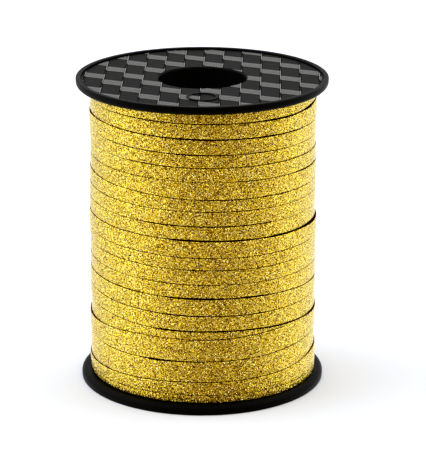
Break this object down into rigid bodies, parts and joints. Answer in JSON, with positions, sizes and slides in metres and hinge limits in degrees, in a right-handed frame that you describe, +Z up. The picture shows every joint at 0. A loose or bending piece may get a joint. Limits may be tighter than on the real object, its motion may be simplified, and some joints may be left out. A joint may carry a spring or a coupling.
{
  "type": "ribbon reel",
  "caption": "Reel of narrow gold glitter ribbon wound on a black flanged spool with a woven-look face and a spindle hole through it.",
  "frame": {"origin": "middle of the reel's base, on the surface that it stands on", "axes": "+Z up along the spool's axis, -Y towards the side that is seen first; the ribbon's outer end is at the back, +Y"},
  "size_m": [0.081, 0.081, 0.101],
  "materials": {
    "spool_plastic": "black injection-moulded plastic, satin, with a woven-look relief on the outer faces",
    "core_plastic": "black extruded plastic, matt",
    "glitter_ribbon": "plastic film ribbon coated all over with fine gold glitter",
    "adhesive_tape": "clear adhesive tape, slightly yellow"
  },
  "bodies": {
    "root": {"top_flange": "spool_plastic", "bottom_flange": "spool_plastic", "core_tube": "core_plastic", "ribbon_winding": "glitter_ribbon", "ribbon_tail": "glitter_ribbon", "start_tape": "adhesive_tape", "end_tape": "adhesive_tape"}
  },
  "joints": []
}
